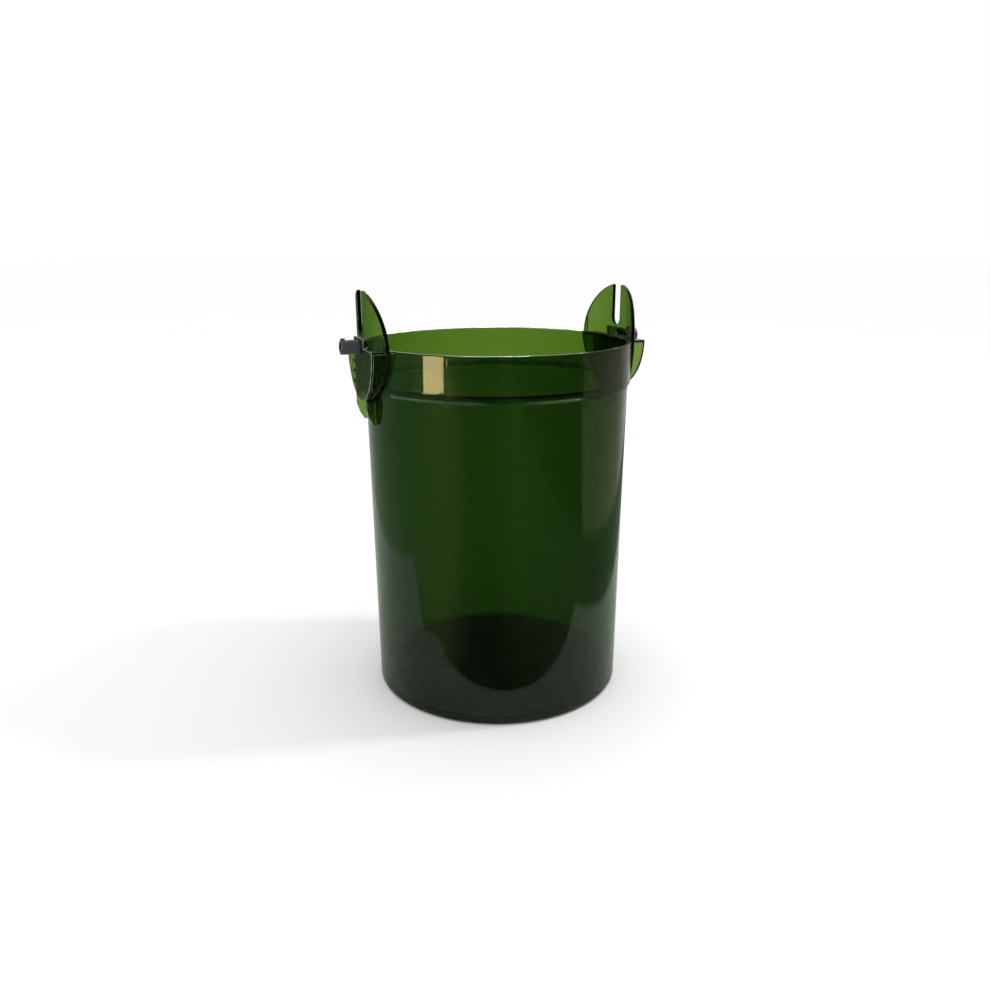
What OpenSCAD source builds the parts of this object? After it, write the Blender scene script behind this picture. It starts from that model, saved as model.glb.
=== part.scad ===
// Round canister of an external aquarium filter, open at the top. Its collar takes the
// pump head. Two slotted brackets on the collar carry the pivot pins of a locking handle.
// Millimetres, +Z up, origin in the middle of the foot; the pins point along X.

/* [Vessel] */
// Height of the rim above the surface that the vessel stands on
vessel_h = 241; // [200:1:320]
// Outer radius of the body where it leaves the rounded foot
foot_r = 85.6; // [65:0.1:110]
// Growth of the outer radius from the foot up to the collar
draft = 2.4; // [0.5:0.1:4]
// Thickness of the body wall
wall = 2.8; // [2:0.1:3.5]
// Thickness of the floor over its recess
floor_t = 3.2; // [2.4:0.1:5]
// Radius of the rounded outer edge of the foot
foot_round = 3.8; // [2.5:0.1:8]
// Reduction of that radius on the inside, so that the corner isn't thick
round_less = 0.8; // [0:0.1:1.5]
// Width of the flat ring that the vessel stands on
ring_w = 7; // [4:0.5:14]
// Depth of the recess inside the standing ring
ring_h = 1.6; // [0.8:0.1:3]

/* [Collar] */
// Height of the straight collar below the rim
collar_h = 27; // [18:0.5:34]
// Step from the top of the body out to the collar
collar_step = 1.6; // [1.2:0.1:2.4]
// Thickness of the collar wall
collar_wall = 3; // [2.4:0.1:3.6]
// Radius of the rounded lower edge of the collar
shoulder_r = 3; // [2.6:0.1:4]
// Radius of the hollow fillet between shoulder and body
fillet_r = 2.6; // [1.5:0.1:4]
// Height of the lead-in cone from the body up to the collar's bore
lead_in = 4; // [2:0.5:6]
// Radius of both edges of the rim
lip_r = 0.8; // [0.4:0.1:1.1]

/* [Brackets] */
// Gap between the collar and the bracket that is bonded to it
seat_gap = 0.3; // [0.25:0.05:0.5]
// Radius of the round outline of the curved plate
plate_r = 35.4; // [32:0.1:38]
// Thickness of the curved plate
plate_t = 2.4; // [2:0.1:3]
// Width of the slot that takes the pump head's lug
slot_w = 10.6; // [8:0.1:12]
// Height of the slot's round bottom above the pin axis
slot_rise = 7.4; // [6:0.1:10]
// Radius of the half-round front plate
front_r = 34.2; // [30:0.1:36]
// Thickness of the front plate and of the ledge on top of it
front_t = 1.7; // [1.4:0.1:2.4]
// Distance of the front plate's face from the collar
front_out = 4.3; // [4.2:0.1:7]
// Distance between the middles of the two fins
fin_gap = 24; // [20:0.5:30]
// Thickness of a fin
fin_t = 2.4; // [1.8:0.1:3]
// Depth of the fins' tips below the pin axis
fin_drop = 48.5; // [44:0.5:56]
// Width that a fin's tip stands out from the body
fin_tip = 1.2; // [0.8:0.1:2]
// Height of the fins' upper ends above the pin axis
fin_rise = 5.6; // [5.4:0.1:7]
// Height of the slanted end of a fin's front edge
fin_slant = 10.5; // [8:0.5:14]
// Width that the slant takes off a fin before it turns steeper
fin_nose = 1.6; // [1:0.1:2.4]
// Thickness of the web that joins the fins at the top
web_t = 1.6; // [1.2:0.1:2.2]
// Outer radius of the round boss that holds a pin
boss_r = 5.2; // [5:0.1:6.5]

/* [Rungs] */
// Number of rungs behind the front plate
rung_n = 4; // [2:1:5]
// Distance from one rung to the next
rung_pitch = 6.7; // [5.5:0.1:7]
// Depth of the first rung below the pin axis
rung_first = 3.8; // [3:0.1:6]
// Thickness of a rung
rung_t = 1.5; // [1:0.1:2]
// Length of a rung beyond the fins, on each side
rung_over = 7.5; // [4:0.5:9]

/* [Pins] */
// Distance of the pin axis below the rim
pin_drop = 0.5; // [0:0.1:1]
// Outer radius of the tubular end of a pin
pin_r = 4.6; // [4:0.1:5.5]
// Length of the tubular end beyond the front plate
pin_out = 11.7; // [8:0.1:16]
// Radius of the hole in the tubular end
pin_hole_r = 2.9; // [2:0.1:3.4]
// Depth of the hole in the tubular end
pin_hole_d = 8.5; // [5:0.5:10]
// Radius of the shank pressed into the boss
shank_r = 3; // [2:0.1:3.6]
// Depth that the shank's end lies back from the bracket's inner face
shank_set = 0.4; // [0.2:0.1:1]
// Clearance of the shank in the boss
shank_fit = 0.02; // [0.01:0.01:0.05]
// Bevel at the outer end of a pin
pin_bevel = 0.5; // [0.3:0.1:0.8]
// Length, width and height of the key on top of a pin's outer end
key_size = [2.6, 2.2, 1.1];

/* [Hidden] */
$fn = 96;
body_r = foot_r + draft;
collar_r = body_r + collar_step;
collar_in = collar_r - collar_wall;
collar_z = vessel_h - collar_h;
floor_z = ring_h + floor_t;
inner_round = foot_round - round_less;
cut_over = 1;
seat_r = collar_r + seat_gap;
front_x = collar_r + front_out;
pin_z = vessel_h - pin_drop;
fins_w = fin_gap + fin_t;
fin_top = pin_z + fin_rise;
tip_z = pin_z - fin_drop;
inside_x = collar_in / 2;

green = [0.30, 0.42, 0.16, 0.75];
grey = [0.20, 0.20, 0.21];

// Outer radius of the drafted body at height z.
function body_r_at(z) = foot_r + draft * (z - foot_round) / (collar_z - foot_round);

// Points of an arc round centre c, from angle a to angle b.
function arc(c, r, a, b, n = 8) = [for (i = [0 : n]) let (t = a + (b - a) * i / n) c + r * [cos(t), sin(t)]];

// A list of points without the one that it starts with.
function after_first(points) = [for (i = [1 : len(points) - 1]) points[i]];

// Outline of the outside from the axis out, made wider by grow.
module outer_profile(grow = 0) {
    round_r = shoulder_r + grow;
    hollow_r = fillet_r - grow;
    under = body_r_at(collar_z - shoulder_r) + grow;
    foot = [foot_r + grow - foot_round, foot_round];
    shoulder = [collar_r - shoulder_r, collar_z];
    run = under + hollow_r - shoulder.x;
    hollow = shoulder + [run, -sqrt(pow(round_r + hollow_r, 2) - run * run)];
    lean = atan2(shoulder.y - hollow.y, -run);
    lip = [collar_r + grow - lip_r, vessel_h - lip_r];
    polygon(concat(
        [[0, 0]], arc(foot, foot_round, -90, 0),
        arc(hollow, hollow_r, 180, lean), after_first(arc(shoulder, round_r, lean - 180, 0)),
        arc(lip, lip_r, 0, 90), [[0, vessel_h]]
    ));
}

// Outline of the space inside: body, lead-in cone and the bore of the collar.
module inner_profile() {
    corner = [foot_r - wall - inner_round, floor_z + inner_round];
    cone_z = collar_z - shoulder_r;
    lip = [collar_in + lip_r, vessel_h - lip_r];
    polygon(concat(
        [[0, floor_z]], arc(corner, inner_round, -90, 0),
        [[body_r - wall, cone_z - lead_in / 2], [collar_in, cone_z + lead_in / 2]],
        arc(lip, lip_r, 180, 90), [[lip.x, vessel_h + cut_over], [0, vessel_h + cut_over]]
    ));
}

// A round bar along X, from x to x + length, at the height of the pin axis.
module bar(r, x, length) {
    translate([x, 0, pin_z]) rotate([0, 90, 0]) cylinder(r = r, h = length);
}

module canister() {
    color(green) difference() {
        rotate_extrude($fn = 240) outer_profile();
        rotate_extrude($fn = 240) inner_profile();
        translate([0, 0, -cut_over])
            cylinder(r = foot_r - foot_round - ring_w, h = ring_h + cut_over, $fn = 240);
    }
}

// Curved plate of a bracket, concentric with the collar.
module curved_plate() {
    intersection() {
        translate([0, 0, pin_z - plate_r - cut_over])
            cylinder(r = seat_r + plate_t, h = 2 * (plate_r + cut_over), $fn = 240);
        bar(plate_r, inside_x, collar_r);
    }
}

// Slot from the top of the curved plate down to its round bottom.
module slot() {
    bottom = pin_z + slot_rise + slot_w / 2;
    translate([inside_x, 0, bottom]) rotate([0, 90, 0]) cylinder(d = slot_w, h = collar_r);
    translate([inside_x, -slot_w / 2, bottom]) cube([collar_r, slot_w, plate_r]);
}

// Half-round front plate, with the ledge that ties it back to the curved plate and the
// raised tab between the fins that a pin's shoulder seats on.
module front_plate() {
    intersection() {
        bar(front_r, inside_x, front_x - inside_x);
        union() {
            translate([front_x - front_t, -front_r, pin_z - front_r])
                cube([front_t, 2 * front_r, front_r]);
            translate([inside_x, -front_r, pin_z - front_t])
                cube([front_x - inside_x, 2 * front_r, front_t]);
            translate([front_x - front_t, -fins_w / 2, pin_z - front_t])
                cube([front_t, fins_w, front_t + fin_rise]);
        }
    }
}

// Fin on the side y: from beside the slot's bottom down to a slanted tip beside the body.
module fin(y) {
    tip_x = body_r_at(tip_z) + seat_gap + fin_tip;
    translate([0, y + fin_t / 2, 0]) rotate([90, 0, 0]) linear_extrude(fin_t) polygon([
        [inside_x, fin_top], [front_x, fin_top], [front_x, tip_z + fin_slant],
        [front_x - fin_nose, tip_z + fin_slant / 2], [tip_x, tip_z], [inside_x, tip_z]
    ]);
}

// Rungs across the fins, behind the front plate.
module rungs() {
    length = fins_w + 2 * rung_over;
    for (i = [0 : rung_n - 1])
        translate([inside_x, -length / 2, pin_z - rung_first - i * rung_pitch - rung_t / 2])
            cube([front_x - front_t / 2 - inside_x, length, rung_t]);
}

// Round boss for the shank, with the web above it that joins the fins' upper ends.
module boss() {
    bar(boss_r, inside_x, front_x - inside_x);
    translate([inside_x, -fins_w / 2, fin_top - web_t])
        cube([front_x - inside_x, fins_w, web_t]);
}

module bracket() {
    color(green) difference() {
        union() {
            curved_plate();
            front_plate();
            fin(-fin_gap / 2);
            fin(fin_gap / 2);
            rungs();
            boss();
        }
        rotate_extrude($fn = 240) bracket_seat();
        slot();
        bar(shank_r + shank_fit, inside_x, front_x);
    }
}

// The room that a bracket leaves free: the vessel with the bond gap round it, and what is above.
module bracket_seat() {
    outer_profile(seat_gap);
    translate([0, collar_z]) square([seat_r, vessel_h]);
}

module pin() {
    shank_x = seat_r + shank_set;
    tip_x = front_x + pin_out;
    color(grey) difference() {
        union() {
            bar(shank_r, shank_x, front_x - shank_x + cut_over);
            bar(pin_r, front_x, pin_out - pin_bevel);
            translate([tip_x - pin_bevel, 0, pin_z]) rotate([0, 90, 0])
                cylinder(r1 = pin_r, r2 = pin_r - pin_bevel, h = pin_bevel);
            translate([tip_x - pin_bevel - key_size.x, -key_size.y / 2, pin_z])
                cube([key_size.x, key_size.y, pin_r + key_size.z]);
        }
        bar(pin_hole_r, tip_x - pin_hole_d, pin_hole_d + cut_over);
    }
}

module right_bracket() { bracket(); }
module left_bracket() { rotate([0, 0, 180]) bracket(); }
module right_pin() { pin(); }
module left_pin() { rotate([0, 0, 180]) pin(); }

canister();
left_bracket();
right_bracket();
left_pin();
right_pin();
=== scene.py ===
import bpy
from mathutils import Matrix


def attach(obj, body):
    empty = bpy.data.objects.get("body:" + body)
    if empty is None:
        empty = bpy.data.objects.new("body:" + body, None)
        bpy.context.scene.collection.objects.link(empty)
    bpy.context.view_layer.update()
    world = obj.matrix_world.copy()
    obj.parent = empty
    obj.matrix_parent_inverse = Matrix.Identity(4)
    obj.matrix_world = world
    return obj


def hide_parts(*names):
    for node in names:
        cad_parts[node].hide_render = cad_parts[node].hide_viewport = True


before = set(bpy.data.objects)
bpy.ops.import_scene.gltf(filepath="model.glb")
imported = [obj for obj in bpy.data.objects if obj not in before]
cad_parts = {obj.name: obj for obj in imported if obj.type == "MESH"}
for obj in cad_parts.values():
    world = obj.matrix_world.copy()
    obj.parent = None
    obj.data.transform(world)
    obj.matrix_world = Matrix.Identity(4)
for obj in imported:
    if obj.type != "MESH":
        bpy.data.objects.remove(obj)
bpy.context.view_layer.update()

import math

import bmesh
import bpy
from mathutils import Matrix, Vector

mm = 0.001
scene = bpy.context.scene
print("frame loaded:", ", ".join(sorted(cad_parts)))


def newObject(name, data):
    thing = bpy.data.objects.new(name, data)
    scene.collection.objects.link(thing)
    return thing


def addNode(tree, kind, **settings):
    node = tree.nodes.new(kind)
    for name, value in settings.items():
        setattr(node, name, value)
    return node


def setInputs(tree, node, **values):
    for name, value in values.items():
        socket = node.inputs[name.replace("_", " ")]
        if isinstance(value, bpy.types.NodeSocket):
            tree.links.new(value, socket)
        else:
            socket.default_value = value
    return node


def mathNode(tree, operation, *values):
    node = addNode(tree, "ShaderNodeMath", operation=operation)
    for i, value in enumerate(values):
        if isinstance(value, bpy.types.NodeSocket):
            tree.links.new(value, node.inputs[i])
        else:
            node.inputs[i].default_value = value
    return node.outputs[0]


def rangeNode(tree, value, fromMin, fromMax, toMin, toMax, smooth=False):
    node = addNode(tree, "ShaderNodeMapRange", interpolation_type="SMOOTHSTEP" if smooth else "LINEAR")
    tree.links.new(value, node.inputs["Value"])
    return setInputs(tree, node, From_Min=fromMin, From_Max=fromMax, To_Min=toMin, To_Max=toMax).outputs[0]


def noiseNode(tree, vector, scale, detail=2.0, roughness=0.5, distortion=0.0):
    node = addNode(tree, "ShaderNodeTexNoise")
    tree.links.new(vector, node.inputs["Vector"])
    setInputs(tree, node, Scale=scale, Detail=detail, Roughness=roughness, Distortion=distortion)
    return node.outputs["Fac"]


def stretchedNode(tree, vector, turn, stretch):
    node = addNode(tree, "ShaderNodeMapping")
    return setInputs(tree, node, Vector=vector, Rotation=turn, Scale=stretch).outputs[0]


def blendNode(tree, mask, first, second):
    # from first to second colour as the mask goes from 0 to 1
    node = addNode(tree, "ShaderNodeMix", data_type="RGBA")
    tree.links.new(mask, node.inputs[0])
    for socket, colour in ((node.inputs[6], first), (node.inputs[7], second)):
        if isinstance(colour, bpy.types.NodeSocket):
            tree.links.new(colour, socket)
        else:
            socket.default_value = (*colour, 1)
    return node.outputs[2]


def addRelief(tree, surface, height, strength, distance):
    relief = addNode(tree, "ShaderNodeBump")
    setInputs(tree, relief, Strength=strength, Distance=distance, Height=height)
    tree.links.new(relief.outputs["Normal"], surface.inputs["Normal"])


def objectCoords(tree):
    return addNode(tree, "ShaderNodeTexCoord").outputs["Object"]


def newGroup(name, inputs, outputs):
    tree = bpy.data.node_groups.new(name, "ShaderNodeTree")
    for label, kind, default in inputs:
        socket = tree.interface.new_socket(label, in_out="INPUT", socket_type=kind)
        if default is not None:
            socket.default_value = default
    for label, kind in outputs:
        tree.interface.new_socket(label, in_out="OUTPUT", socket_type=kind)
    return tree, addNode(tree, "NodeGroupInput"), addNode(tree, "NodeGroupOutput")


def mirroredRay(tree):
    # 1 for a ray that a glossy surface has reflected on its way, 0 for one that only went through
    path = addNode(tree, "ShaderNodeLightPath")
    reflected = mathNode(tree, "MINIMUM", path.outputs["Glossy Depth"], 1.0)
    direct = mathNode(tree, "SUBTRACT", 1.0, path.outputs["Is Diffuse Ray"])
    return mathNode(tree, "MULTIPLY", reflected, direct)


def newMaterial(name):
    material = bpy.data.materials.new(name)
    material.use_nodes = True
    tree = material.node_tree
    tree.nodes.clear()
    surface = addNode(tree, "ShaderNodeBsdfPrincipled")
    out = addNode(tree, "ShaderNodeOutputMaterial")
    tree.links.new(surface.outputs[0], out.inputs["Surface"])
    return material, tree, surface


viewer = {
    "lens": 31.868, "sensor": 36.0, "near": 0.02, "far": 60.0,
    "place": (-213.7 * mm, -553.9 * mm, 305.36 * mm),
    "heading": 69.03,    # degrees from +X, seen from above
    "tilt": 16.23,       # degrees below the horizon
    "roll": 0.17,
}


def placeCamera():
    camera = newObject("camera", bpy.data.cameras.new("camera"))
    lens = camera.data
    lens.lens, lens.sensor_width, lens.sensor_fit = viewer["lens"], viewer["sensor"], "HORIZONTAL"
    lens.clip_start, lens.clip_end = viewer["near"], viewer["far"]
    camera.location = viewer["place"]
    camera.rotation_mode = "QUATERNION"
    camera.rotation_quaternion = (
        Matrix.Rotation(math.radians(viewer["heading"] - 90), 4, "Z")
        @ Matrix.Rotation(math.radians(90 - viewer["tilt"]), 4, "X")
        @ Matrix.Rotation(math.radians(-viewer["roll"]), 4, "Z")
    ).to_quaternion()
    scene.camera = camera


placeCamera()
print("camera placed")


hairlineSets = (    # turn, stretch, scale and width of each set
    (0.12, (60, 60, 2.2), 9.0, 0.010),
    (1.45, (55, 55, 3.0), 7.0, 0.008),
    (0.75, (48, 40, 2.6), 8.0, 0.007),
)
handling = {
    "hairlineDepth": 0.06, "swellScale": 18.0,
    "wipedScale": 26.0, "wipedHaze": 0.176,
    "edgeScale": 420.0, "edgeSharpness": (0.51, 0.56),
}


def buildScuffs():
    # hairlines, wiped haze and shallow dents: Height for a bump, Haze for roughness
    tree, given, result = newGroup("handlingScuffs", [
        ("Vector", "NodeSocketVector", None),
        ("Hairlines", "NodeSocketFloat", 1.0),
        ("Waviness", "NodeSocketFloat", 1.0),
    ], [("Height", "NodeSocketFloat"), ("Haze", "NodeSocketFloat")])
    vector = given.outputs["Vector"]
    lines = None
    for turn, stretch, scale, width in hairlineSets:
        stretched = stretchedNode(tree, vector, (turn, turn * 0.4, turn * 1.7), stretch)
        grain = noiseNode(tree, stretched, scale, 1.0, 0.4, 0.15)
        near = mathNode(tree, "ABSOLUTE", mathNode(tree, "SUBTRACT", grain, 0.5))
        line = rangeNode(tree, near, 0.0, width, 1.0, 0.0)
        patch = rangeNode(tree, noiseNode(tree, vector, 30.0 + 9 * scale, 2.0), 0.52, 0.62, 0.0, 1.0, True)
        line = mathNode(tree, "MULTIPLY", line, patch)
        lines = line if lines is None else mathNode(tree, "MAXIMUM", lines, line)
    lines = mathNode(tree, "MULTIPLY", lines, given.outputs["Hairlines"])
    swell = noiseNode(tree, vector, handling["swellScale"], 1.0)
    swell = mathNode(tree, "MULTIPLY", swell, given.outputs["Waviness"])
    cut = mathNode(tree, "MULTIPLY", lines, handling["hairlineDepth"])
    height = mathNode(tree, "SUBTRACT", swell, cut)
    wiped = noiseNode(tree, vector, handling["wipedScale"], 4.0, 0.6, 0.4)
    wiped = rangeNode(tree, wiped, 0.42, 0.75, 0.0, handling["wipedHaze"], True)
    tree.links.new(height, result.inputs["Height"])
    tree.links.new(mathNode(tree, "MAXIMUM", wiped, lines), result.inputs["Haze"])
    return tree


def buildRubbedEdges():
    # how strongly a spot stands out from its surroundings, as a wear mask
    tree, given, result = newGroup("rubbedEdges", [
        ("Vector", "NodeSocketVector", None),
        ("Amount", "NodeSocketFloat", 1.0),
    ], [("Wear", "NodeSocketFloat")])
    geometry = addNode(tree, "ShaderNodeNewGeometry")
    sharp = rangeNode(tree, geometry.outputs["Pointiness"], *handling["edgeSharpness"], 0.0, 1.0)
    broken = noiseNode(tree, given.outputs["Vector"], handling["edgeScale"], 3.0, 0.6)
    broken = rangeNode(tree, broken, 0.40, 0.62, 0.0, 1.0)
    wear = mathNode(tree, "MULTIPLY", mathNode(tree, "MULTIPLY", sharp, broken), given.outputs["Amount"])
    tree.links.new(wear, result.inputs["Wear"])
    return tree


scuffs = buildScuffs()
rubbedEdges = buildRubbedEdges()


greenPlastic = {
    "surface": (0.985, 1.0, 0.97), "refraction": 1.49,
    "absorbColour": (0.43, 0.60, 0.064), "absorbDensity": 1400.0,
    "edgeWear": 0.8, "reliefDepth": 1.0,
}
scrubbing = {
    "amount": 0.9, "dirt": (0.22, 0.24, 0.18),
    "turn": 24.0, "stretch": (26, 300, 1),    # degrees; strokes run along the small number
    "from": (3.6, 4.2), "to": (5.6, 7.2),     # heights between which it starts and stops
}
# colours of the bracket edges' painted highlight: a light tone with darker chip-like patches
rim = {
    "dark": (0.10, 0.14, 0.08), "light": (0.30, 0.34, 0.27), "roughness": (0.3, 0.5),
    "chipAndGlintScale": 260.0, "grainScale": 1900.0, "bump": 0.3, "reliefDepth": 0.2,
}
grey = {
    "dark": (0.040, 0.041, 0.044), "light": (0.052, 0.053, 0.057), "worn": (0.13, 0.133, 0.14),
    "roughness": (0.34, 0.52), "edgeWear": 0.7, "hairlines": 0.6, "waviness": 0.3,
    "toneScale": 620.0, "grainScale": 2600.0, "bump": 0.25, "reliefDepth": 0.3,
}


def scrubbedMasks(tree, coords):
    # where the inside of the bottom was scrubbed across, and the dirt left in the strokes
    split = addNode(tree, "ShaderNodeSeparateXYZ")
    tree.links.new(coords, split.inputs[0])
    start, stop = [[z * mm for z in scrubbing[name]] for name in ("from", "to")]
    bottom = mathNode(tree, "MULTIPLY",
                      rangeNode(tree, split.outputs[2], *start, 0.0, scrubbing["amount"]),
                      rangeNode(tree, split.outputs[2], *stop, 1.0, 0.0))
    stretched = stretchedNode(tree, coords, (0, 0, math.radians(scrubbing["turn"])), scrubbing["stretch"])
    strokes = rangeNode(tree, noiseNode(tree, stretched, 1.0, 5.0), 0.44, 0.60, 0.0, 1.0)
    patches = rangeNode(tree, noiseNode(tree, coords, 30.0, 3.0), 0.40, 0.58, 0.25, 1.0)
    dirt = mathNode(tree, "MULTIPLY", mathNode(tree, "MULTIPLY", strokes, patches), bottom)
    return bottom, dirt


def clearGreen(name, hairlines, waviness, smoothest, roughest, bump, scrubbed=False):
    material, tree, surface = newMaterial(name)
    setInputs(tree, surface, Base_Color=(*greenPlastic["surface"], 1), IOR=greenPlastic["refraction"],
              Metallic=0.0, Transmission_Weight=1.0)
    coords = objectCoords(tree)
    marks = addNode(tree, "ShaderNodeGroup", node_tree=scuffs)
    setInputs(tree, marks, Vector=coords, Hairlines=hairlines, Waviness=waviness)
    edges = addNode(tree, "ShaderNodeGroup", node_tree=rubbedEdges)
    setInputs(tree, edges, Vector=coords, Amount=greenPlastic["edgeWear"])
    worn = mathNode(tree, "MAXIMUM", marks.outputs["Haze"], edges.outputs["Wear"])
    if scrubbed:
        bottom, dirt = scrubbedMasks(tree, coords)
        tint = blendNode(tree, dirt, greenPlastic["surface"], scrubbing["dirt"])
        tree.links.new(tint, surface.inputs["Base Color"])
        worn = mathNode(tree, "MAXIMUM", worn, mathNode(tree, "SUBTRACT", bottom, dirt))
    tree.links.new(rangeNode(tree, worn, 0.0, 1.0, smoothest, roughest), surface.inputs["Roughness"])
    addRelief(tree, surface, marks.outputs["Height"], bump, greenPlastic["reliefDepth"] * mm)
    inside = addNode(tree, "ShaderNodeVolumeAbsorption")
    setInputs(tree, inside, Color=(*greenPlastic["absorbColour"], 1), Density=greenPlastic["absorbDensity"])
    tree.links.new(inside.outputs[0], tree.get_output_node("ALL").inputs["Volume"])
    return material


def paintedHighlightRim(name):
    # the rounded edges of the brackets' front painted as light lines, a painted highlight, mottled with
    # darker chip-like patches
    material, tree, surface = newMaterial(name)
    coords = objectCoords(tree)
    # mottle between the dark tone and the light painted highlight tone
    chipsAndGlints = rangeNode(tree, noiseNode(tree, coords, rim["chipAndGlintScale"], 3.0), 0.35, 0.65, 0.0, 1.0)
    tree.links.new(blendNode(tree, chipsAndGlints, rim["dark"], rim["light"]), surface.inputs["Base Color"])
    grain = noiseNode(tree, coords, rim["grainScale"], 2.0)
    tree.links.new(rangeNode(tree, grain, 0.3, 0.7, *rim["roughness"]), surface.inputs["Roughness"])
    addRelief(tree, surface, grain, rim["bump"], rim["reliefDepth"] * mm)
    return material


def mouldedGrey(name):
    material, tree, surface = newMaterial(name)
    coords = objectCoords(tree)
    tone = rangeNode(tree, noiseNode(tree, coords, grey["toneScale"], 4.0), 0.3, 0.7, 0.0, 1.0)
    edges = addNode(tree, "ShaderNodeGroup", node_tree=rubbedEdges)
    setInputs(tree, edges, Vector=coords, Amount=grey["edgeWear"])
    clean = blendNode(tree, tone, grey["dark"], grey["light"])
    tree.links.new(blendNode(tree, edges.outputs["Wear"], clean, grey["worn"]), surface.inputs["Base Color"])
    marks = addNode(tree, "ShaderNodeGroup", node_tree=scuffs)
    setInputs(tree, marks, Vector=coords, Hairlines=grey["hairlines"], Waviness=grey["waviness"])
    roughness = rangeNode(tree, marks.outputs["Haze"], 0.0, 1.0, *grey["roughness"])
    tree.links.new(roughness, surface.inputs["Roughness"])
    grain = noiseNode(tree, coords, grey["grainScale"], 2.0)
    height = mathNode(tree, "ADD", grain, marks.outputs["Height"])
    addRelief(tree, surface, height, grey["bump"], grey["reliefDepth"] * mm)
    return material


vesselPlastic = clearGreen("vesselGreen", hairlines=1.0, waviness=1.0, smoothest=0.004, roughest=0.16,
                           bump=0.30, scrubbed=True)
bracketPlastic = clearGreen("bracketGreen", hairlines=0.8, waviness=0.6, smoothest=0.008, roughest=0.16,
                            bump=0.25)
highlightRimPlastic = paintedHighlightRim("bracketRimHighlight")
pinPlastic = mouldedGrey("pinGrey")
print("materials built")


canister = {    # millimetres
    "height": 241.0, "footRadius": 85.6, "draft": 2.4, "wall": 3.0,
    "floorThickness": 3.2, "footRound": 3.8, "innerRound": 3.0,
    "standRing": 7.0, "recess": 1.6, "recessSoft": 0.35,
    "collarStep": 1.6, "collarWall": 3.0, "lip": 0.8,
    "shoulderTop": 214.6, "shoulderBottom": 212.2, "shoulderSoft": 0.5,
    "ledgeTop": 217.7, "ledgeBottom": 215.7, "ledgeSoft": 0.35,
    "segments": 320, "weld": 0.001,
}


def arcPoints(centre, radius, start, end, count=8):
    angles = [math.radians(start + (end - start) * i / count) for i in range(count + 1)]
    return [(centre[0] + radius * math.cos(a), centre[1] + radius * math.sin(a)) for a in angles]


def canisterProfile(c):
    # outline of the wall's section as (radius, height), from under the foot round to the inside
    foot, bodyRadius = c["footRadius"], c["footRadius"] + c["draft"]
    collarRadius = bodyRadius + c["collarStep"]
    bore = collarRadius - c["collarWall"]
    floorZ = c["recess"] + c["floorThickness"]
    footCentre = foot - c["footRound"]
    recessRadius = footCentre - c["standRing"]
    shoulder = (bodyRadius, c["shoulderBottom"]), (collarRadius, c["shoulderTop"])
    ledge = (bore, c["ledgeTop"]), (bodyRadius - c["wall"], c["ledgeBottom"])
    lip, inner, soft = c["lip"], c["innerRound"], c["recessSoft"]
    corners = [(0.0, c["recess"])]
    corners += arcPoints((recessRadius - soft, c["recess"] - soft), soft, 90, 0, 4)
    corners += arcPoints((recessRadius + soft, soft), soft, 180, 270, 4)
    corners += arcPoints((footCentre, c["footRound"]), c["footRound"], -90, 0, 12)
    corners += softCorner((foot, c["footRound"]), *shoulder, c["shoulderSoft"])
    corners += softCorner(*shoulder, (collarRadius, c["height"]), c["shoulderSoft"])
    corners += arcPoints((collarRadius - lip, c["height"] - lip), lip, 0, 90)
    corners += arcPoints((bore + lip, c["height"] - lip), lip, 90, 180)
    corners += softCorner((bore, c["height"]), *ledge, c["ledgeSoft"])
    corners += softCorner(*ledge, (foot - c["wall"], floorZ), c["ledgeSoft"])
    corners += arcPoints((foot - c["wall"] - inner, floorZ + inner), inner, 0, -90, 10)
    corners.append((0.0, floorZ))
    return withSupports(corners)


def softCorner(before, corner, after, radius, count=6):
    # a fillet of this radius in place of a corner
    b, p, a = Vector(before), Vector(corner), Vector(after)
    u, v = (b - p).normalized(), (a - p).normalized()
    half = u.angle(v) / 2
    reach = radius / math.tan(half)
    middle = p + (u + v).normalized() * radius / math.sin(half)
    first, last = p + u * reach - middle, p + v * reach - middle
    spots = [first.lerp(last, i / count) for i in range(count + 1)]
    return [tuple(middle + spot.normalized() * radius) for spot in spots]


def withSupports(points, reach=0.4, longest=9.0, least=1e-6):
    # close points beside each bend keep the long faces' shading flat
    result = []
    for a, b in zip(points, points[1:]):
        a, b = Vector(a), Vector(b)
        length = (b - a).length
        if length < least:
            continue
        result.append(tuple(a))
        if length > 3 * reach:
            result.append(tuple(a.lerp(b, reach / length)))
            pieces = max(1, round((length - 2 * reach) / longest))
            for i in range(1, pieces):
                t = (reach + (length - 2 * reach) * i / pieces) / length
                result.append(tuple(a.lerp(b, t)))
            result.append(tuple(a.lerp(b, 1 - reach / length)))
    result.append(points[-1])
    return result


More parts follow.
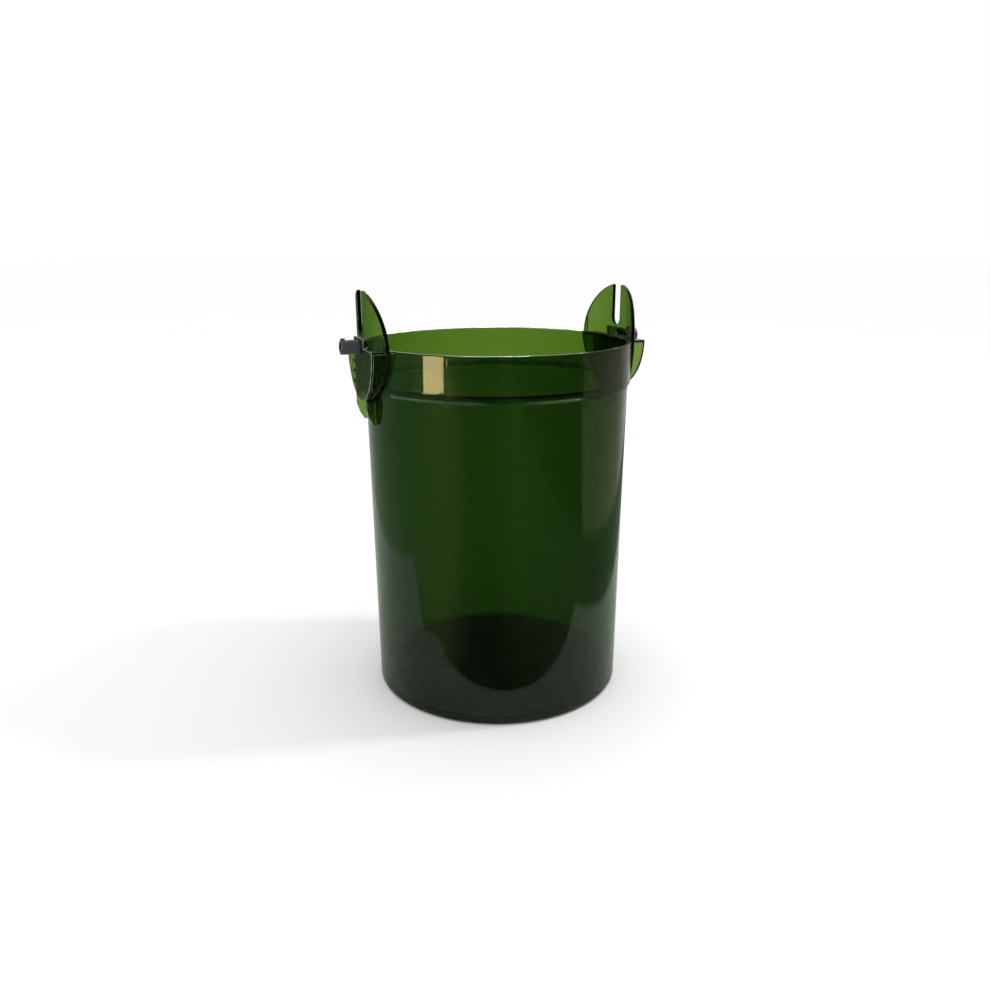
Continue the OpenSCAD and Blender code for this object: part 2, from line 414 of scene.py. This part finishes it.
def latheTree(name):
    # turns an outline that starts and ends on the Z axis into a closed body
    tree = bpy.data.node_groups.new(name, "GeometryNodeTree")
    tree.interface.new_socket("Geometry", in_out="INPUT", socket_type="NodeSocketGeometry")
    sockets = {}
    for label, kind in (("Segments", "Int"), ("Outline Points", "Int"), ("Weld", "Float"),
                        ("Material", "Material")):
        socket = tree.interface.new_socket(label, in_out="INPUT", socket_type="NodeSocket" + kind)
        sockets[label] = socket.identifier
    tree.interface.new_socket("Geometry", in_out="OUTPUT", socket_type="NodeSocketGeometry")
    given, result = addNode(tree, "NodeGroupInput"), addNode(tree, "NodeGroupOutput")
    segments, rows = given.outputs["Segments"], given.outputs["Outline Points"]

    grid = addNode(tree, "GeometryNodeMeshGrid")
    setInputs(tree, grid, Vertices_X=mathNode(tree, "ADD", segments, 1.0), Vertices_Y=rows)
    index = addNode(tree, "GeometryNodeInputIndex").outputs[0]
    row = mathNode(tree, "MODULO", index, rows)
    column = mathNode(tree, "FLOOR", mathNode(tree, "DIVIDE", mathNode(tree, "ADD", index, 0.5), rows))
    angle = mathNode(tree, "MULTIPLY", mathNode(tree, "DIVIDE", column, segments), 2 * math.pi)

    sample = addNode(tree, "GeometryNodeSampleIndex", data_type="FLOAT_VECTOR", domain="POINT")
    position = addNode(tree, "GeometryNodeInputPosition").outputs[0]
    setInputs(tree, sample, Geometry=given.outputs["Geometry"], Value=position, Index=row)
    parts = addNode(tree, "ShaderNodeSeparateXYZ")
    setInputs(tree, parts, Vector=sample.outputs["Value"])
    radius, height = parts.outputs[0], parts.outputs[2]
    spot = addNode(tree, "ShaderNodeCombineXYZ")
    setInputs(tree, spot, Z=height,
              X=mathNode(tree, "MULTIPLY", radius, mathNode(tree, "COSINE", angle)),
              Y=mathNode(tree, "MULTIPLY", radius, mathNode(tree, "SINE", angle)))

    place = addNode(tree, "GeometryNodeSetPosition")
    setInputs(tree, place, Geometry=grid.outputs["Mesh"], Position=spot.outputs[0])
    merge = addNode(tree, "GeometryNodeMergeByDistance")
    setInputs(tree, merge, Geometry=place.outputs[0], Distance=given.outputs["Weld"])
    smooth = addNode(tree, "GeometryNodeSetShadeSmooth")
    setInputs(tree, smooth, Geometry=merge.outputs[0])
    real = addNode(tree, "GeometryNodeRealizeInstances")
    setInputs(tree, real, Geometry=smooth.outputs[0])
    paint = addNode(tree, "GeometryNodeSetMaterial")
    setInputs(tree, paint, Geometry=real.outputs[0], Material=given.outputs["Material"])
    tree.links.new(paint.outputs[0], result.inputs["Geometry"])
    return tree, sockets


def plainMesh(host, name):
    # the evaluated object as a plain mesh object, host removed
    bpy.context.view_layer.update()
    mesh = bpy.data.meshes.new_from_object(host.evaluated_get(bpy.context.evaluated_depsgraph_get()))
    mesh.name = name
    bpy.data.objects.remove(host, do_unlink=True)
    return newObject(name, mesh)


def buildCanister():
    outline = canisterProfile(canister)
    mesh = bpy.data.meshes.new("canisterOutline")
    edges = [(i, i + 1) for i in range(len(outline) - 1)]
    mesh.from_pydata([(r * mm, 0, z * mm) for r, z in outline], edges, [])
    host = newObject("canisterOutline", mesh)
    tree, sockets = latheTree("latheOutline")
    lathe = host.modifiers.new("lathe", "NODES")
    lathe.node_group = tree
    lathe[sockets["Segments"]] = canister["segments"]
    lathe[sockets["Outline Points"]] = len(outline)
    lathe[sockets["Weld"]] = canister["weld"] * mm
    lathe[sockets["Material"]] = vesselPlastic
    shell = plainMesh(host, "canisterShell")
    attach(shell, "root")
    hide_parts("canister")
    return shell


shell = buildCanister()
print("canister:", len(shell.data.polygons), "faces")


bracket = {    # millimetres and degrees; bevelled edges beyond highlightBeyond from the axis take the light rim, a painted highlight
    "edge": 0.36, "sharpest": 38.0, "steps": 2, "highlightBeyond": 92.7,
}
pin = {"edge": 0.18, "sharpest": 38.0, "steps": 2}
cleaning = {"sameSpot": 0.002, "flatWithin": 0.4}    # millimetres, degrees


def softened(node, name, sizes, material):
    # the node's own shape with its moulded edges rounded
    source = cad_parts[node]
    work = bmesh.new()
    work.from_mesh(source.data)
    bmesh.ops.remove_doubles(work, verts=work.verts, dist=cleaning["sameSpot"] * mm)
    bmesh.ops.dissolve_limit(work, angle_limit=math.radians(cleaning["flatWithin"]), verts=work.verts,
                             edges=work.edges)
    mesh = bpy.data.meshes.new(name)
    work.to_mesh(mesh)
    work.free()
    host = newObject(name + "Host", mesh)
    mesh.materials.clear()
    mesh.materials.append(material)
    for face in mesh.polygons:
        face.use_smooth = True
        face.material_index = 0
    bevel = host.modifiers.new("edges", "BEVEL")
    # bevelled edge faces take the light rim material, a painted highlight
    if "highlightBeyond" in sizes:
        mesh.materials.append(highlightRimPlastic)
        bevel.material = 1
    bevel.width, bevel.segments = sizes["edge"] * mm, sizes["steps"]
    bevel.limit_method, bevel.angle_limit = "ANGLE", math.radians(sizes["sharpest"])
    bevel.miter_outer = "MITER_ARC"
    bevel.use_clamp_overlap = False
    even = host.modifiers.new("normals", "WEIGHTED_NORMAL")
    even.mode, even.weight, even.keep_sharp = "FACE_AREA", 100, False
    piece = plainMesh(host, name)
    # bevel faces nearer the axis than highlightBeyond go back to the green plastic, without the painted
    # highlight
    for face in piece.data.polygons:
        if face.material_index and math.hypot(*face.center[:2]) < sizes["highlightBeyond"] * mm:
            face.material_index = 0
    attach(piece, "root")
    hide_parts(node)
    return piece


for side in ("left", "right"):
    ear = softened(side + "_bracket", side + "Bracket", bracket, bracketPlastic)
    stub = softened(side + "_pin", side + "Pin", pin, pinPlastic)
    print(side, "bracket and pin:", len(ear.data.polygons), len(stub.data.polygons), "faces")


stage = {    # metres from the middle of the vessel, ahead towards the open side and to the right of that
    "floorRadius": 14.0, "floorTone": (0.87, 0.88), "floorRoughness": 0.9, "floorShine": 0.1,
    "fill": 0.16,
    # a table top, as glossy surfaces mirror it
    "tableAhead": 0.130, "tableSlant": 0.09, "tableLeft": 0.345, "tableRight": 0.225,
    "notch": (-0.175, -0.135), "notchAhead": (0.113, 0.145), "edgeSoft": 0.003,
    "tableGlow": (0.43, 0.51, 0.41),
    # a darker stretch to the right, and one far behind to the left
    "shade": (0.0, 0.1), "shadeEnd": (0.39, 0.43), "shadeGlow": (0.10, 0.16, 0.08),
    "cornerLeft": (-0.45, -0.6), "cornerBehind": (-0.85, -1.05), "cornerGlow": (0.055, 0.105, 0.03),
    # the room beyond, by degrees round the vessel from straight ahead, left to right
    "roomGlow": [
        (-180, (0.8, 0.8, 0.8)), (-155, (0.45, 0.47, 0.43)), (-130, (0.28, 0.36, 0.22)),
        (-108, (0.20, 0.34, 0.17)), (-92, (0.19, 0.35, 0.16)), (-75, (0.18, 0.33, 0.13)),
        (-46, (0.20, 0.32, 0.11)), (-38, (0.22, 0.30, 0.11)), (-27, (0.11, 0.14, 0.07)),
        (-20, (0.055, 0.065, 0.05)), (40, (0.04, 0.05, 0.035)), (73, (0.05, 0.07, 0.04)),
        (76, (0.27, 0.37, 0.16)), (94, (0.27, 0.34, 0.17)), (103, (0.28, 0.34, 0.20)),
        (125, (0.26, 0.29, 0.19)), (150, (0.5, 0.5, 0.46)), (180, (0.8, 0.8, 0.8)),
    ],
}
ahead = Vector((*viewer["place"][:2], 0)).normalized()
aside = Vector((-ahead.y, ahead.x, 0))


def alongNode(tree, vector, direction):
    node = addNode(tree, "ShaderNodeVectorMath", operation="DOT_PRODUCT")
    tree.links.new(vector, node.inputs[0])
    node.inputs[1].default_value = direction
    return node.outputs["Value"]


def roomGlowNode(tree, vector):
    # the dim room's colour in the direction of this vector
    turn = mathNode(tree, "ARCTAN2", alongNode(tree, vector, aside), alongNode(tree, vector, ahead))
    ramp = addNode(tree, "ShaderNodeValToRGB")
    tree.links.new(rangeNode(tree, turn, -math.pi, math.pi, 0.0, 1.0), ramp.inputs["Fac"])
    stops = ramp.color_ramp.elements
    while len(stops) < len(stage["roomGlow"]):
        stops.new(0.5)
    for stop, (degrees, colour) in zip(stops, stage["roomGlow"]):
        stop.position, stop.color = (degrees + 180) / 360, (*colour, 1)
    return ramp.outputs["Color"]


def mirroredFloor(tree, coords):
    # what glossy surfaces mirror of the floor: a table top, with the dim room beyond it
    forward, sideways = alongNode(tree, coords, ahead), alongNode(tree, coords, aside)
    soft = stage["edgeSoft"]
    slanted = mathNode(tree, "MULTIPLY_ADD", sideways, -stage["tableSlant"], stage["tableAhead"])
    notch = rangeNode(tree, sideways, *stage["notch"], *stage["notchAhead"])
    beyond = mathNode(tree, "SUBTRACT", forward, mathNode(tree, "MINIMUM", slanted, notch))
    onTable = rangeNode(tree, beyond, -soft, soft, 1.0, 0.0)
    for reach, sign in ((stage["tableRight"], 1), (stage["tableLeft"], -1)):
        outward = mathNode(tree, "MULTIPLY", sideways, sign)
        inside = rangeNode(tree, outward, reach - 3 * soft, reach + 3 * soft, 1.0, 0.0)
        onTable = mathNode(tree, "MULTIPLY", onTable, inside)
    shaded = mathNode(tree, "MULTIPLY",
                      rangeNode(tree, sideways, *stage["shade"], 0.0, 1.0),
                      rangeNode(tree, sideways, *stage["shadeEnd"], 1.0, 0.0))
    corner = mathNode(tree, "MULTIPLY",
                      rangeNode(tree, sideways, *stage["cornerLeft"], 0.0, 1.0),
                      rangeNode(tree, forward, *stage["cornerBehind"], 0.0, 1.0))
    colour = roomGlowNode(tree, coords)
    for mask, glow in ((corner, "cornerGlow"), (shaded, "shadeGlow"), (onTable, "tableGlow")):
        colour = blendNode(tree, mask, colour, stage[glow])
    return colour


def buildFloor():
    work = bmesh.new()
    bmesh.ops.create_circle(work, cap_ends=True, segments=96, radius=stage["floorRadius"])
    mesh = bpy.data.meshes.new("floor")
    work.to_mesh(mesh)
    work.free()
    floor = newObject("floor", mesh)
    material, tree, surface = newMaterial("paleFloor")
    coords = objectCoords(tree)
    tone = rangeNode(tree, noiseNode(tree, coords, 3.0, 3.0), 0.3, 0.7, *stage["floorTone"])
    pale = addNode(tree, "ShaderNodeCombineColor")
    setInputs(tree, pale, Red=tone, Green=tone, Blue=tone)
    colour = blendNode(tree, mirroredRay(tree), pale.outputs[0], mirroredFloor(tree, coords))
    tree.links.new(colour, surface.inputs["Base Color"])
    setInputs(tree, surface, Roughness=stage["floorRoughness"], Specular_IOR_Level=stage["floorShine"])
    mesh.materials.append(material)


def buildWorld():
    # white all round; glossy surfaces mirror the dim room
    world = bpy.data.worlds.new("studio")
    scene.world = world
    world.cycles.sampling_method = "NONE"
    world.use_nodes = True
    tree = world.node_tree
    tree.nodes.clear()
    white, room = addNode(tree, "ShaderNodeBackground"), addNode(tree, "ShaderNodeBackground")
    diffuse = addNode(tree, "ShaderNodeLightPath").outputs["Is Diffuse Ray"]
    strength = mathNode(tree, "ADD", mathNode(tree, "MULTIPLY", diffuse, stage["fill"]), 1.0)
    setInputs(tree, white, Color=(1, 1, 1, 1), Strength=strength)
    setInputs(tree, room, Color=roomGlowNode(tree, addNode(tree, "ShaderNodeTexCoord").outputs["Generated"]))
    mix = addNode(tree, "ShaderNodeMixShader")
    for i, value in enumerate((mirroredRay(tree), white.outputs[0], room.outputs[0])):
        tree.links.new(value, mix.inputs[i])
    out = addNode(tree, "ShaderNodeOutputWorld")
    tree.links.new(mix.outputs[0], out.inputs["Surface"])


lamps = {    # metres, watts; a mirroredOnly lamp shows in reflections and lights nothing
    "backLamp": {
        "place": (0.50, 1.30, 1.02), "size": (0.26, 0.26), "power": 11.0,
        "colour": (1, 1, 1), "mirroredOnly": True,
    },
    "sideLamp": {
        "place": (0.9, -0.25, 1.2), "size": (0.14, 0.14), "power": 5.0,
        "colour": (1, 1, 1), "mirroredOnly": False,
    },
    "windowPanel": {
        "place": (-1.060, -0.345, 0.24), "size": (0.36, 0.40), "power": 4.9,
        "colour": (1, 0.79, 0.36), "mirroredOnly": True,
    },
}
lampTarget = Vector((0, 0, 0.2))


def buildLamps():
    for name, lamp in lamps.items():
        light = bpy.data.lights.new(name, "AREA")
        light.shape = "RECTANGLE"
        light.size, light.size_y = lamp["size"]
        light.energy, light.color = lamp["power"], lamp["colour"]
        holder = newObject(name, light)
        holder.location = lamp["place"]
        holder.rotation_mode = "QUATERNION"
        holder.rotation_quaternion = (lampTarget - holder.location).to_track_quat("-Z", "Y")
        holder.visible_camera = False
        if lamp["mirroredOnly"]:
            holder.visible_diffuse = holder.visible_transmission = False


buildFloor()
buildWorld()
buildLamps()
scene.view_settings.view_transform = "Standard"
for setting, value in (("max_bounces", 32), ("transmission_bounces", 24), ("glossy_bounces", 8),
                       ("sample_clamp_indirect", 10.0)):
    setattr(scene.cycles, setting, value)
print("stage and lamps set")
